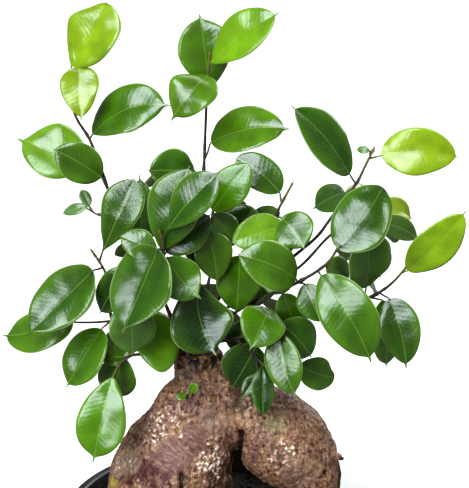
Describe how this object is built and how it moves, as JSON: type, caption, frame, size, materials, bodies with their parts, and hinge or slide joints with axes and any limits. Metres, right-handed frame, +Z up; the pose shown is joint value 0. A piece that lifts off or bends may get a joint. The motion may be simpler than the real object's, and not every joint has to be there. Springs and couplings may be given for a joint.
{
  "type": "ficus ginseng bonsai in pot",
  "caption": "Swollen forked root trunk with grafted shoots of glossy oval leaves, standing in soil in a plain round black pot.",
  "frame": {"origin": "middle of the pot's underside, on the pot's axis", "axes": "+Z up along the pot's axis; -Y towards the side shown in the picture, the trunk's broad front; +X to that view's right, where the trunk's bulbed leg stands"},
  "size_m": [0.2761, 0.2055, 0.4101],
  "materials": {
    "leaf": "gloss",
    "bark": "matte",
    "soil": "matte",
    "pot_black": "satin"
  },
  "bodies": {
    "root": {"pot": "pot_black", "soil": "soil", "root_trunk": "bark", "trunk_sprout": "leaf", "shoot_top_left": "leaf", "shoot_top_centre": "leaf", "shoot_front_left": "leaf", "shoot_front": "leaf", "shoot_lower_left": "leaf", "shoot_left": "leaf", "shoot_inner": "leaf", "shoot_centre": "leaf", "shoot_right_up": "leaf", "shoot_right_front": "leaf", "shoot_right_low": "leaf", "shoot_right_far": "leaf", "shoot_back_left": "leaf", "shoot_back": "leaf", "shoot_back_right": "leaf"}
  },
  "joints": []
}
